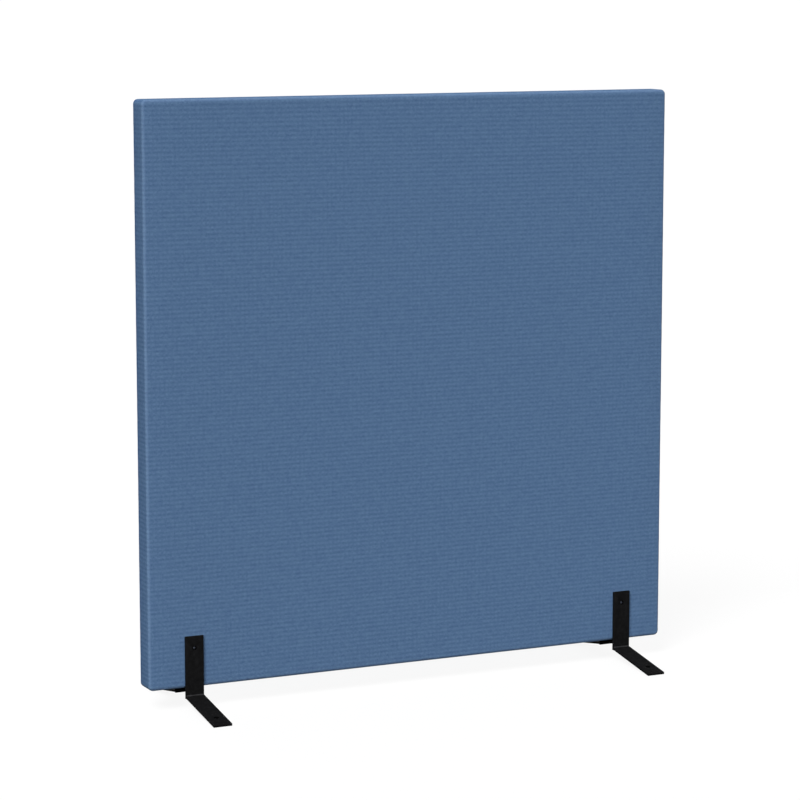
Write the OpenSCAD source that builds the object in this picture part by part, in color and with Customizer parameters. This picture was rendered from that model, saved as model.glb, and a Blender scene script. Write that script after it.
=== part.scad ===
// Free-standing acoustic divider screen: a square upholstered panel held up by
// four flat steel brackets, two in front and two behind, whose feet slope down to the floor.
// Millimetres. +Z is up, the front faces -Y, and the origin is on the floor under the middle.

/* [Panel] */
// Width of the panel over its fabric
panel_w = 1200; // [900:10:1800]
// Height of the panel over its fabric
panel_h = 1200; // [900:10:1600]
// Thickness of the panel over its fabric
panel_t = 54; // [48:1:80]
// Rounding along the panel's long edges
edge_r = 8; // [6:0.5:10]
// Rounding of the panel's four corners, seen from the front
corner_r = 10; // [7:0.5:13]

/* [Upholstery] */
// Thickness of the fabric
cover_t = 1; // [0.6:0.1:1.4]
// Thickness of the foam on both faces
foam_t = 4; // [3:0.5:6]
// Thickness of the foam strips round the four edges
edge_foam_t = 4; // [3:0.5:6]
// How far the fabric is turned under the panel, from each face
cover_turn = 20; // [17:0.5:22]
// Thickness of the strip that closes the underside
strip_t = 0.8; // [0.4:0.1:1.5]
// Distance of the strip's long sides from the rounded edges
strip_side_inset = 1; // [0.5:0.5:3]
// Distance of the strip's ends from the ends of the panel
strip_end_inset = 14; // [13:1:60]
// How far the strip reaches past the ends of the gap in the fabric
strip_overlap = 8; // [3:1:30]

/* [Frame] */
// Thickness of the boards on both sides of the frame
board_t = 6; // [4:0.5:8]
// Width of the top and bottom rails
rail_w = 45; // [35:1:60]
// Width of the two outer stiles
stile_w = 45; // [35:1:60]
// Width of the stile in the middle
centre_stile_w = 45; // [35:1:80]
// Clearance round the absorber slabs
infill_gap = 0.5; // [0.2:0.1:0.9]
// Distance from a bracket screw to the far sides of its anchor block
anchor_reach = 50; // [35:1:80]

/* [Frame fasteners] */
// Diameter of the dowels
dowel_d = 8; // [6:0.5:10]
// Length of the dowels
dowel_l = 40; // [30:2:60]
// Distance between the two dowels of one joint
dowel_pitch = 22; // [14:1:24]
// Radial clearance of a dowel in its bore
dowel_gap = 0.1; // [0.02:0.02:0.2]
// Shank diameter of the screws that hold the anchor blocks
block_screw_d = 5; // [3.5:0.5:6]
// Length of those screws
block_screw_l = 80; // [65:5:100]
// Head diameter of those screws
block_screw_head_d = 9.6; // [8:0.2:12]

/* [Staples] */
// Width of a staple
staple_w = 10; // [6:0.5:12]
// Thickness of the staple wire
staple_wire = 1.2; // [0.8:0.1:1.6]
// Length of a staple's legs
staple_leg = 14; // [10:1:16]
// Step from one staple to the next, rounded so that a row is evenly filled
staple_pitch = 150; // [80:5:250]
// Distance of the underside staples from the faces of the panel
staple_row = 14; // [12:0.5:16]
// Clearance round a staple in what it is driven into
staple_gap = 0.1; // [0.05:0.05:0.2]

/* [Brackets] */
// Width of the flat bar
bar_w = 40; // [30:1:60]
// Thickness of the flat bar
bar_t = 5; // [4:0.5:8]
// Length of the upright
leg_l = 130; // [110:1:180]
// How far the upright reaches below the panel
leg_drop = 22.3; // [12:0.1:40]
// Length of the foot, from the face of the upright to the tip
foot_l = 153; // [100:1:260]
// Angle by which the foot falls towards its tip
foot_slope = 9.5; // [6:0.1:12]
// How far the upright stands below the foot where they meet
heel = 0.8; // [0.4:0.1:3]
// Size of the weld bead in the corner
weld_r = 2; // [1:0.5:3]
// Distance of the weld's ends from the sides of the bar
weld_inset = 1; // [0.5:0.5:4]
// Distance from the panel's side to the middle of a bracket
bracket_inset = 98; // [85:1:250]
// Diameter of the hole in the foot
foot_hole_d = 11; // [5:0.5:14]
// Distance of that hole from the tip
foot_hole_in = 36; // [15:1:60]

/* [Bracket screws] */
// Distance of the screw below the top of the upright
leg_hole_in = 25; // [15:1:35]
// Shank diameter of the screw
screw_d = 4; // [3:0.5:5]
// Length of the screw under its head
screw_l = 20; // [12:1:22]
// Diameter of the screw's domed head
screw_head_d = 7.6; // [6.6:0.2:9]
// Height of the domed head
screw_head_h = 2.2; // [1.8:0.1:2.6]
// Width across the corners of the hexagon socket
socket_d = 2.9; // [2:0.1:3.6]
// Depth of the hexagon socket
socket_depth = 1.3; // [0.8:0.1:1.5]
// Radial clearance of the shank in the bar
shank_gap = 0.25; // [0.1:0.05:0.5]
// Radial clearance of the head in its counterbore
head_gap = 0.4; // [0.2:0.05:0.8]
// How far the head lies below the face of the bar
head_sink = 0.7; // [0.2:0.1:1.2]
// Outside diameter of the threaded insert
insert_d = 10; // [8:0.5:14]
// Length of the threaded insert
insert_l = 22; // [18:1:23]
// Radial clearance of the insert in the panel
insert_gap = 0.15; // [0.05:0.05:0.3]
// Radial clearance between the screw and the insert
thread_gap = 0.05; // [0.02:0.01:0.1]

/* [Hidden] */

$fn = 64;
overrun = 1;
hex_sides = 6;
half_turn = 180;
quarter_turn = 90;

// Heights above the floor, worked up from the tip of a sloping foot
leg_z0 = foot_l * sin(foot_slope) - heel;
panel_z0 = leg_z0 + leg_drop;
panel_z1 = panel_z0 + panel_h;
screw_z = leg_z0 + leg_l - leg_hole_in;

// The panel's faces, and its core of frame and boards inside the upholstery
face_y = panel_t / 2;
edge_skin = cover_t + edge_foam_t;
board_y = face_y - cover_t - foam_t;
frame_y = board_y - board_t;
frame_w = panel_w - 2 * edge_skin;
frame_x = frame_w / 2;
frame_z0 = panel_z0 + edge_skin;
frame_z1 = panel_z1 - edge_skin;
stile_z0 = frame_z0 + rail_w;
stile_z1 = frame_z1 - rail_w;
stile_x = frame_x - stile_w / 2;
bay_x = frame_x - stile_w;

// The brackets and their anchor blocks
bracket_x = panel_w / 2 - bracket_inset;
block_x0 = bracket_x - anchor_reach;
block_w = bay_x - block_x0;
block_h = screw_z + anchor_reach - stile_z0;
counterbore = screw_head_h + head_sink;
seat = bar_t - counterbore;
block_screw_shares = [0.25, 0.75];
tip_share = 1.2;

// The closing strip, the slot that it covers and the rear seam of the fabric
strip_w = panel_t - 2 * (edge_r + strip_side_inset);
strip_l = panel_w - 2 * strip_end_inset;
slot_x = strip_l / 2 - strip_overlap;
slot_y = face_y - cover_turn;
seam_y = face_y - edge_r;
cover_gap = 0.3;

function steps(length) = max(2, round(length / staple_pitch));

// Box between two opposite corners
module box(low, high) {
    translate(low) cube(high - low);
}

// Turns a shape made for the right side into the left one where side is -1
module on_side(side) {
    mirror([1 - side, 0, 0]) children();
}

// Turns a shape made for the back into the front one where face is -1
module on_face(face) {
    mirror([0, 1 - face, 0]) children();
}

// Rectangle with round corners, centred on the origin
module rounded_outline(w, h, r) {
    square([w - 2 * r, h], center = true);
    square([w, h - 2 * r], center = true);
    for (x = [-1, 1], y = [-1, 1])
        translate([x * (w / 2 - r), y * (h / 2 - r)]) circle(r);
}

// The space inside the panel's surface, moved inwards all round by inset
module panel_space(inset) {
    w = panel_w - 2 * inset;
    t = panel_t - 2 * inset;
    h = panel_h - 2 * inset;
    translate([0, 0, panel_z0 + panel_h / 2])
        intersection() {
            linear_extrude(h, center = true) rounded_outline(w, t, edge_r - inset);
            rotate([quarter_turn, 0, quarter_turn])
                linear_extrude(w, center = true) rounded_outline(t, h, edge_r - inset);
            rotate([quarter_turn, 0, 0])
                linear_extrude(t, center = true) rounded_outline(w, h, corner_r - inset);
        }
}

// Places its children at the screw of each bracket, with +Z pointing out of the panel
module at_bracket_screws(faces = [-1, 1], sides = [-1, 1]) {
    for (face = faces, side = sides)
        translate([side * bracket_x, face * face_y, screw_z])
            rotate([-face * quarter_turn, 0, 0])
                children();
}

// Bores for the inserts, through all of the panel that lies on the given faces
module insert_bores(faces = [-1, 1], sides = [-1, 1]) {
    at_bracket_screws(faces, sides)
        translate([0, 0, -face_y])
            cylinder(h = face_y + overrun, r = insert_d / 2 + insert_gap);
}

// A staple with its crown along X on the plane z = 0 and its legs below, grown by gap
module staple(gap = 0) {
    for (side = [-1, 1])
        translate([side * (staple_w - staple_wire) / 2, 0, 0])
            box([-staple_wire / 2 - gap, -staple_wire / 2 - gap, -staple_leg - gap],
                [staple_wire / 2 + gap, staple_wire / 2 + gap, 0]);
    box([-staple_w / 2 - gap, -staple_wire / 2 - gap, -staple_wire - gap],
        [staple_w / 2 + gap, staple_wire / 2 + gap, 0]);
}

// A row of staples along X, evenly spread over a length that is centred on the origin
module staple_row_x(length, gap = 0) {
    count = steps(length);
    for (i = [0 : count - 1])
        translate([length * ((i + 1 / 2) / count - 1 / 2), 0, 0]) staple(gap);
}

// The staples of one board, flush with its face: along both rails and all three stiles
module board_staples(face, gap = 0) {
    stile_l = stile_z1 - stile_z0;
    for (z = [frame_z0 + rail_w / 2, frame_z1 - rail_w / 2])
        translate([0, face * board_y, z])
            rotate([-face * quarter_turn, 0, 0]) staple_row_x(frame_w, gap);
    for (x = [-stile_x, 0, stile_x])
        translate([x, face * board_y, (stile_z0 + stile_z1) / 2])
            rotate([-face * quarter_turn, 0, 0]) rotate([0, 0, quarter_turn])
                staple_row_x(stile_l, gap);
}

// The two rows of staples that hold the strip and the fabric's edges under the panel
module strip_staples(gap = 0) {
    crown_z = panel_z0 - strip_t - staple_wire;
    for (side = [-1, 1])
        translate([0, side * (face_y - staple_row), crown_z])
            rotate([half_turn, 0, 0]) staple_row_x(strip_l, gap);
}

// Dowels of all six frame joints, centred on the faces where stiles meet rails
module dowels(gap = 0) {
    for (z = [stile_z0, stile_z1], x = [-stile_x, 0, stile_x], side = [-1, 1])
        translate([x + side * dowel_pitch / 2, 0, z])
            cylinder(h = dowel_l + 2 * gap, r = dowel_d / 2 + gap, center = true);
}

// Countersunk wood screws that come up through the bottom rail into the anchor blocks
module block_screw_shapes(gap = 0) {
    r = block_screw_d / 2 + gap;
    head_r = block_screw_head_d / 2 + gap;
    for (side = [-1, 1], share = block_screw_shares)
        translate([side * (block_x0 + share * block_w), 0, frame_z0]) {
            cylinder(h = head_r - r, r1 = head_r, r2 = r);
            cylinder(h = block_screw_l - tip_share * block_screw_d, r = r);
            translate([0, 0, block_screw_l - tip_share * block_screw_d])
                cylinder(h = tip_share * block_screw_d + gap, r1 = r, r2 = gap);
        }
}

// Fabric all over the panel, before it is parted at the seam
module cover_shell() {
    difference() {
        panel_space(0);
        panel_space(cover_t);
    }
}

// The slot under the panel where the fabric's two edges don't meet
module underside_slot() {
    box([-slot_x, -slot_y, panel_z0 - overrun], [slot_x, seam_y + overrun, panel_z0 + cover_t + overrun]);
}

// Front, top and sides in one piece, turned under the panel
module front_cover() {
    color([0.31, 0.42, 0.55])
        difference() {
            intersection() {
                cover_shell();
                box([-panel_w, -panel_t, 0], [panel_w, seam_y, panel_z1 + overrun]);
            }
            underside_slot();
            insert_bores([-1]);
        }
}

// The back, sewn to the front cover round three sides and turned under too
module rear_cover() {
    color([0.30, 0.41, 0.54])
        difference() {
            union() {
                intersection() {
                    cover_shell();
                    box([-panel_w, seam_y, 0], [panel_w, panel_t, panel_z1 + overrun]);
                }
                box([cover_gap - slot_x, slot_y, panel_z0], [slot_x - cover_gap, seam_y, panel_z0 + cover_t]);
            }
            insert_bores([1]);
        }
}

// The black strip that hides the raw edges of the fabric
module underside_strip() {
    color([0.08, 0.08, 0.09])
        difference() {
            box([-strip_l / 2, -strip_w / 2, panel_z0 - strip_t], [strip_l / 2, strip_w / 2, panel_z0]);
            strip_staples(staple_gap);
        }
}

module underside_staples() {
    color([0.70, 0.71, 0.73]) strip_staples();
}

// Foam over one face of the board, rounded at its rim by the fabric
module face_foam(face) {
    difference() {
        intersection() {
            panel_space(cover_t);
            on_face(face) box([-panel_w, board_y, 0], [panel_w, panel_t, panel_z1]);
        }
        insert_bores([face]);
    }
}

module front_foam() { color([0.86, 0.84, 0.74]) face_foam(-1); }
module rear_foam() { color([0.86, 0.84, 0.74]) face_foam(1); }

// Foam strips round the frame and the boards
module edge_foam(low, high) {
    color([0.84, 0.82, 0.72])
        intersection() {
            panel_space(cover_t);
            box(low, high);
        }
}

module top_edge_foam() {
    edge_foam([-panel_w, -board_y, frame_z1], [panel_w, board_y, panel_z1 + overrun]);
}

module bottom_edge_foam() {
    difference() {
        edge_foam([-panel_w, -board_y, panel_z0 - overrun], [panel_w, board_y, frame_z0]);
        strip_staples(staple_gap);
    }
}

module left_edge_foam() {
    edge_foam([-panel_w, -board_y, frame_z0], [-frame_x, board_y, frame_z1]);
}

module right_edge_foam() {
    edge_foam([frame_x, -board_y, frame_z0], [panel_w, board_y, frame_z1]);
}

// Soft fibreboard over the frame, on one face
module fibreboard(face) {
    color([0.70, 0.58, 0.42])
        difference() {
            on_face(face) box([-frame_x, frame_y, frame_z0], [frame_x, board_y, frame_z1]);
            board_staples(face, staple_gap);
            insert_bores([face]);
        }
}

module front_board() { fibreboard(-1); }
module rear_board() { fibreboard(1); }
module front_board_staples() { color([0.70, 0.71, 0.73]) board_staples(-1); }
module rear_board_staples() { color([0.70, 0.71, 0.73]) board_staples(1); }

// Absorber slab in one bay of the frame, notched round the anchor block
module infill_slab(side) {
    depth = frame_y - infill_gap;
    color([0.80, 0.72, 0.42])
        on_side(side)
            difference() {
                box([centre_stile_w / 2 + infill_gap, -depth, stile_z0 + infill_gap],
                    [bay_x - infill_gap, depth, stile_z1 - infill_gap]);
                box([block_x0 - infill_gap, -panel_t, 0],
                    [panel_w, panel_t, stile_z0 + block_h + infill_gap]);
            }
}

module left_infill_slab() { infill_slab(-1); }
module right_infill_slab() { infill_slab(1); }

// A member of the softwood frame, with the bores and slits of what holds it
module frame_member(low, high) {
    color([0.82, 0.67, 0.45])
        difference() {
            box(low, high);
            dowels(dowel_gap);
            for (face = [-1, 1]) board_staples(face, staple_gap);
            children();
        }
}

module top_rail() {
    frame_member([-frame_x, -frame_y, stile_z1], [frame_x, frame_y, frame_z1]);
}

module bottom_rail() {
    frame_member([-frame_x, -frame_y, frame_z0], [frame_x, frame_y, stile_z0]) {
        strip_staples(staple_gap);
        block_screw_shapes(shank_gap);
    }
}

module left_stile() {
    frame_member([-frame_x, -frame_y, stile_z0], [-bay_x, frame_y, stile_z1]);
}

module right_stile() {
    frame_member([bay_x, -frame_y, stile_z0], [frame_x, frame_y, stile_z1]);
}

module centre_stile() {
    frame_member([-centre_stile_w / 2, -frame_y, stile_z0], [centre_stile_w / 2, frame_y, stile_z1]);
}

module frame_dowels() {
    color([0.72, 0.52, 0.34]) dowels();
}

// Hardwood block that takes the screws of the brackets on one side
module anchor_block(side) {
    color([0.62, 0.42, 0.26])
        difference() {
            on_side(side)
                box([block_x0, -frame_y, stile_z0], [bay_x, frame_y, stile_z0 + block_h]);
            insert_bores(sides = [side]);
            block_screw_shapes(thread_gap);
        }
}

module left_anchor_block() { anchor_block(-1); }
module right_anchor_block() { anchor_block(1); }

module block_screws() {
    color([0.78, 0.70, 0.45]) block_screw_shapes();
}

// Steel inserts whose outer ends lie level with the fabric, so that the brackets seat on them
module bracket_inserts() {
    color([0.66, 0.67, 0.70])
        at_bracket_screws()
            translate([0, 0, -insert_l])
                difference() {
                    cylinder(h = insert_l, r = insert_d / 2);
                    translate([0, 0, -overrun])
                        cylinder(h = insert_l + 2 * overrun, r = screw_d / 2 + thread_gap);
                }
}

// Domed screws sunk in the uprights
module bracket_screws() {
    head_r = screw_head_d / 2;
    dome_r = (head_r * head_r + screw_head_h * screw_head_h) / (2 * screw_head_h);
    color([0.30, 0.33, 0.38])
        at_bracket_screws()
            translate([0, 0, seat]) {
                translate([0, 0, -screw_l]) cylinder(h = screw_l + head_sink, r = screw_d / 2);
                difference() {
                    intersection() {
                        translate([0, 0, screw_head_h - dome_r]) sphere(dome_r);
                        cylinder(h = screw_head_h, r = head_r);
                    }
                    translate([0, 0, screw_head_h - socket_depth])
                        cylinder(h = socket_depth + overrun, r = socket_d / 2, $fn = hex_sides);
                }
            }
}

// Places its children on the foot, with +Y towards the upright and +Z square to the bar
module along_foot() {
    translate([0, -face_y - bar_t, leg_z0 + heel]) rotate([foot_slope, 0, 0]) children();
}

// Welded bracket of flat bar in front of the panel, centred on x = 0
module foot_bracket() {
    color([0.09, 0.09, 0.09])
        difference() {
            union() {
                box([-bar_w / 2, -face_y - bar_t, leg_z0], [bar_w / 2, -face_y, leg_z0 + leg_l]);
                along_foot() box([-bar_w / 2, -foot_l, 0], [bar_w / 2, bar_t / 2, bar_t]);
                along_foot()
                    translate([0, bar_t * tan(foot_slope), bar_t])
                        rotate([0, quarter_turn, 0])
                            cylinder(h = bar_w - 2 * weld_inset, r = weld_r, center = true);
            }
            translate([0, -face_y, screw_z])
                rotate([quarter_turn, 0, 0]) {
                    translate([0, 0, -overrun])
                        cylinder(h = bar_t + 2 * overrun, r = screw_d / 2 + shank_gap);
                    translate([0, 0, seat])
                        cylinder(h = counterbore + overrun, r = screw_head_d / 2 + head_gap);
                }
            along_foot()
                translate([0, foot_hole_in - foot_l, -overrun])
                    cylinder(h = bar_t + 2 * overrun, r = foot_hole_d / 2);
        }
}

module front_left_bracket() { translate([-bracket_x, 0, 0]) foot_bracket(); }
module front_right_bracket() { translate([bracket_x, 0, 0]) foot_bracket(); }
module rear_left_bracket() { translate([-bracket_x, 0, 0]) rotate([0, 0, half_turn]) foot_bracket(); }
module rear_right_bracket() { translate([bracket_x, 0, 0]) rotate([0, 0, half_turn]) foot_bracket(); }

front_cover();
rear_cover();
underside_strip();
underside_staples();
front_foam();
rear_foam();
top_edge_foam();
bottom_edge_foam();
left_edge_foam();
right_edge_foam();
front_board();
rear_board();
front_board_staples();
rear_board_staples();
left_infill_slab();
right_infill_slab();
top_rail();
bottom_rail();
left_stile();
right_stile();
centre_stile();
frame_dowels();
left_anchor_block();
right_anchor_block();
block_screws();
bracket_inserts();
bracket_screws();
front_left_bracket();
front_right_bracket();
rear_left_bracket();
rear_right_bracket();
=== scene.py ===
from math import atan2, cos, exp, hypot, pi, radians, sin

import bmesh
import bpy
from mathutils import Matrix, Vector, noise


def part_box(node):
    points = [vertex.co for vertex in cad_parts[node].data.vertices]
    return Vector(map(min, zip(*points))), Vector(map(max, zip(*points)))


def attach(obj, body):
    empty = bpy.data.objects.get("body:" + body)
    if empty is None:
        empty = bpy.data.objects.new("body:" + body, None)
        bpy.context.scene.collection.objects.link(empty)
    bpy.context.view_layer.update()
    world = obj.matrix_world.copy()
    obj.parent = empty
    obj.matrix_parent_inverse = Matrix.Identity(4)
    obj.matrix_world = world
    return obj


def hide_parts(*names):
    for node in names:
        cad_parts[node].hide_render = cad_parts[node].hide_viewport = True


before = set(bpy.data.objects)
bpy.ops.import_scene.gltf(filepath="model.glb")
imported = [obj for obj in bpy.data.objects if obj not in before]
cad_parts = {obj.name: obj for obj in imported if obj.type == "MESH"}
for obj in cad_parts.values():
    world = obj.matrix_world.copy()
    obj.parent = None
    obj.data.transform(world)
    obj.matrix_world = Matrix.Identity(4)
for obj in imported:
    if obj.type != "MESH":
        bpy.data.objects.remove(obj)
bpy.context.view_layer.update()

# Lengths are metres and angles degrees. The front of the screen faces -Y.
# Shades are (place in the pattern, share of the tone), and relief is (depth, strength) of bumps.

alongX, alongY, alongZ = Vector((1, 0, 0)), Vector((0, 1, 0)), Vector((0, 0, 1))
samePlace = 1e-6          # two places this close are one
nearPlace = 0.0001        # and this close they belong together
mostly = 0.9              # a face looks along an axis when its normal has this share of it


# Selecting and editing

def takeUp(piece):
    bpy.ops.object.select_all(action="DESELECT")
    piece.select_set(True)
    bpy.context.view_layer.objects.active = piece


def startEdit(piece):
    takeUp(piece)
    bpy.ops.object.mode_set(mode="EDIT")


def endEdit():
    bpy.ops.object.mode_set(mode="OBJECT")


def pick(piece, kind, wanted):
    # kind is verts, edges or faces
    bpy.ops.mesh.select_mode(type=kind[:-1].upper())
    bpy.ops.mesh.select_all(action="DESELECT")
    mesh = bmesh.from_edit_mesh(piece.data)
    for part in getattr(mesh, kind):
        if wanted(part):
            part.select_set(True)
    mesh.select_flush_mode()
    bmesh.update_edit_mesh(piece.data)


def looksDown(face):
    return face.normal.z < -mostly


def cutAt(piece, axis, at, wanted=None, **options):
    # cuts the faces that wanted accepts, or all of them, square to an axis
    if wanted:
        pick(piece, "faces", wanted)
    else:
        bpy.ops.mesh.select_all(action="SELECT")
    bpy.ops.mesh.bisect(plane_co=(at, at, at), plane_no=axis, threshold=samePlace, **options)


def sliceUp(piece, axis, start, end, count):
    for step in range(1, count):
        cutAt(piece, axis, start + (end - start) * step / count)


def settle(name):
    # names the new primitive and keeps its size, place and turn in its mesh
    piece = bpy.context.object
    piece.name = piece.data.name = name
    bpy.ops.object.transform_apply(location=True, rotation=True, scale=True)
    return piece


def addCube(name, low, high):
    low, high = Vector(low), Vector(high)
    bpy.ops.object.select_all(action="DESELECT")
    bpy.ops.mesh.primitive_cube_add(size=1, location=(low + high) / 2, scale=high - low)
    return settle(name)


def addRod(name, wide, long, middle, turn, sides=48):
    # upright before the turn about X and Y
    bpy.ops.object.select_all(action="DESELECT")
    bpy.ops.mesh.primitive_cylinder_add(
        vertices=sides, radius=wide / 2, depth=long, location=middle,
        rotation=(radians(turn[0]), radians(turn[1]), 0))
    return settle(name)


def applyModifier(piece, kind, **settings):
    takeUp(piece)
    step = piece.modifiers.new(kind.lower(), kind)
    for key, value in settings.items():
        setattr(step, key, value)
    bpy.ops.object.modifier_apply(modifier=step.name)


def cutWith(piece, tool, operation="DIFFERENCE"):
    applyModifier(piece, "BOOLEAN", operation=operation, solver="EXACT", object=tool)
    bpy.data.objects.remove(tool, do_unlink=True)


def copyPiece(piece, name, move=(0, 0, 0), turn=0):
    # turn is about the upright through the origin, before the move
    takeUp(piece)
    bpy.ops.object.duplicate(linked=False)
    twin = bpy.context.object
    twin.name = twin.data.name = name
    twin.data.transform(Matrix.Translation(move) @ Matrix.Rotation(radians(turn), 4, "Z"))
    return twin


def smooth(piece, angle):
    takeUp(piece)
    bpy.ops.object.shade_smooth_by_angle(angle=radians(angle))


def dress(piece, finish):
    piece.data.materials.clear()
    piece.data.materials.append(finish)


def fitPiece(piece, nodes, finish):
    dress(piece, finish)
    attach(piece, "root")
    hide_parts(*nodes)


# Building finishes

def newFinish(name):
    finish = bpy.data.materials.new(name)
    finish.use_nodes = True
    tree = finish.node_tree
    tree.nodes.clear()
    out = tree.nodes.new("ShaderNodeOutputMaterial")
    out.name = "out"
    skin = tree.nodes.new("ShaderNodeBsdfPrincipled")
    tree.links.new(skin.outputs["BSDF"], out.inputs["Surface"])
    return finish, tree, skin


def feed(tree, socket, value):
    if isinstance(value, bpy.types.NodeSocket):
        tree.links.new(value, socket)
    else:
        socket.default_value = value


def calc(tree, operation, *values, kind="ShaderNodeMath"):
    step = tree.nodes.new(kind)
    step.operation = operation
    for socket, value in zip(step.inputs, values):
        feed(tree, socket, value)
    return step.outputs[0]


def vectorCalc(tree, operation, *values):
    return calc(tree, operation, *values, kind="ShaderNodeVectorMath")


def times(tree, first, second):
    return calc(tree, "MULTIPLY", first, second)


def total(tree, *shares):
    # the sum of some values, each times its share
    result = times(tree, *shares[0])
    for value, share in shares[1:]:
        result = calc(tree, "ADD", result, times(tree, value, share))
    return result


def mixed(tree, first, second, share):
    # a share of the first, and the rest from the second
    return total(tree, (first, share), (second, 1 - share))


def faded(tree, value, share):
    # 1 where the value is 1, and less by the share where it is 0
    return calc(tree, "MULTIPLY_ADD", value, share, 1 - share)


def around(tree, value, middle=0.5):
    return calc(tree, "SUBTRACT", value, middle)


def wave(tree, kind, value, length):
    return calc(tree, kind, times(tree, value, 2 * pi / length))


def axesOf(tree, where):
    step = tree.nodes.new("ShaderNodeSeparateXYZ")
    tree.links.new(where, step.inputs[0])
    return step.outputs


def stretched(tree, where, scale, turn=(0, 0, 0)):
    step = tree.nodes.new("ShaderNodeMapping")
    step.inputs["Scale"].default_value = scale
    step.inputs["Rotation"].default_value = turn
    tree.links.new(where, step.inputs["Vector"])
    return step.outputs["Vector"]


def objectPlace(tree, scale=(1, 1, 1), turn=(0, 0, 0)):
    source = tree.nodes.new("ShaderNodeTexCoord")
    return stretched(tree, source.outputs["Object"], scale, turn)


def attributeAt(tree, name):
    step = tree.nodes.new("ShaderNodeAttribute")
    step.attribute_name = name
    return step.outputs["Fac"]


def noiseAt(tree, where, scale=1.0, detail=2.0, roughness=0.5, distortion=0.0):
    step = tree.nodes.new("ShaderNodeTexNoise")
    tree.links.new(where, step.inputs["Vector"])
    step.inputs["Scale"].default_value = scale
    step.inputs["Detail"].default_value = detail
    step.inputs["Roughness"].default_value = roughness
    step.inputs["Distortion"].default_value = distortion
    return step.outputs["Fac"]


def cellsAt(tree, where, size, randomness=1.0):
    step = tree.nodes.new("ShaderNodeTexVoronoi")
    tree.links.new(where, step.inputs["Vector"])
    step.inputs["Scale"].default_value = 1 / size
    step.inputs["Randomness"].default_value = randomness
    return step.outputs


def ramp(tree, value, tone, shades):
    step = tree.nodes.new("ShaderNodeValToRGB")
    while len(step.color_ramp.elements) < len(shades):
        step.color_ramp.elements.new(0.5)
    for element, (where, share) in zip(step.color_ramp.elements, shades):
        element.position = where
        element.color = (*(Vector(tone) * share), 1)
    tree.links.new(value, step.inputs[0])
    return step.outputs["Color"]


def bump(tree, skin, height, relief):
    step = tree.nodes.new("ShaderNodeBump")
    depth, strength = relief
    step.inputs["Strength"].default_value = strength
    step.inputs["Distance"].default_value = depth
    tree.links.new(height, step.inputs["Height"])
    tree.links.new(step.outputs["Normal"], skin.inputs["Normal"])


def paint(tree, skin, look, pattern, height, roughBy=None):
    # the pattern picks the shade, the height makes bumps, and roughBy swings the roughness
    colour = ramp(tree, pattern, look["tone"], look["shades"])
    rough = look["rough"]
    if roughBy is not None:
        rough = calc(tree, "MULTIPLY_ADD", roughBy, look["roughSwing"], rough)
    feed(tree, skin.inputs["Base Color"], colour)
    feed(tree, skin.inputs["Roughness"], rough)
    feed(tree, skin.inputs["Specular IOR Level"], look["gloss"])
    feed(tree, skin.inputs["Metallic"], look.get("metallic", 0))
    bump(tree, skin, height, look["relief"])
    return colour


# Camera, light and floor

photoView = {
    "place": (-2.6267, -5.4423, 1.4949),
    "turn": 25.581,       # to the right, from straight at the front
    "dip": 8.368,
    "focal": 2903.4,      # pixels
    "frame": 800,         # pixels
    "sensor": 36,         # mm
    "reach": 1000,
}

light = {
    "worldGlow": 0.26,    # what the room gives from all sides
    "lampAway": 4,
    "lamps": {            # power, where it shines from, how wide it looks
        "keyLamp": (3.95, (-0.59, -0.52, 0.80), 26),
        "frontLamp": (1.12, (0.05, -1.0, 0.25), 40),
        "backLamp": (2.70, (0.10, 0.98, 0.10), 60),
        "sideLamp": (0.90, (0.95, 0.30, 0.20), 60),
    },
}

paleFloor = {
    "tone": 0.80,
    "bounce": 0.10,       # what it throws back at the screen
    "white": 0.90,        # share of plain white that the camera sees
    "rough": 0.9,
    "radius": 300,
    "sides": 64,
}


def makeCamera():
    bpy.ops.object.select_all(action="DESELECT")
    bpy.ops.object.camera_add(
        location=photoView["place"],
        rotation=(radians(90 - photoView["dip"]), 0, radians(-photoView["turn"])))
    camera = bpy.context.object
    camera.data.sensor_width = photoView["sensor"]
    camera.data.lens = photoView["focal"] / photoView["frame"] * photoView["sensor"]
    camera.data.clip_end = photoView["reach"]
    bpy.context.scene.camera = camera
    print("camera placed")


def seenPlainly(tree):
    # 1 for what the camera sees, straight on, in a gloss or through glass
    ray = tree.nodes.new("ShaderNodeLightPath")
    first = calc(tree, "MAXIMUM", ray.outputs["Is Camera Ray"], ray.outputs["Is Glossy Ray"])
    return calc(tree, "MAXIMUM", first, ray.outputs["Is Transmission Ray"])


def whiteFrom(tree, kind, strength):
    step = tree.nodes.new(kind)
    step.inputs["Color"].default_value = (1, 1, 1, 1)
    step.inputs["Strength"].default_value = strength
    return step.outputs[0]


def mixShaders(tree, share, first, second, out):
    both = tree.nodes.new("ShaderNodeMixShader")
    for socket, value in zip(both.inputs, (share, first, second)):
        tree.links.new(value, socket)
    tree.links.new(both.outputs[0], out.inputs["Surface"])


def makeLight():
    scene = bpy.context.scene
    scene.view_settings.view_transform = "Standard"
    for name, (power, source, softness) in light["lamps"].items():
        bpy.ops.object.light_add(type="SUN")
        lamp = bpy.context.object
        lamp.name = name
        lamp.data.energy = power
        lamp.data.angle = radians(softness)
        lamp.rotation_euler = Vector(source).to_track_quat("Z", "Y").to_euler()
        lamp.location = Vector(source) * light["lampAway"]

    scene.world = bpy.data.worlds.new("studio")
    scene.world.use_nodes = True
    tree = scene.world.node_tree
    tree.nodes.clear()
    out = tree.nodes.new("ShaderNodeOutputWorld")
    glow = whiteFrom(tree, "ShaderNodeBackground", light["worldGlow"])
    white = whiteFrom(tree, "ShaderNodeBackground", 1)
    mixShaders(tree, seenPlainly(tree), glow, white, out)
    print("light set")


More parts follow.
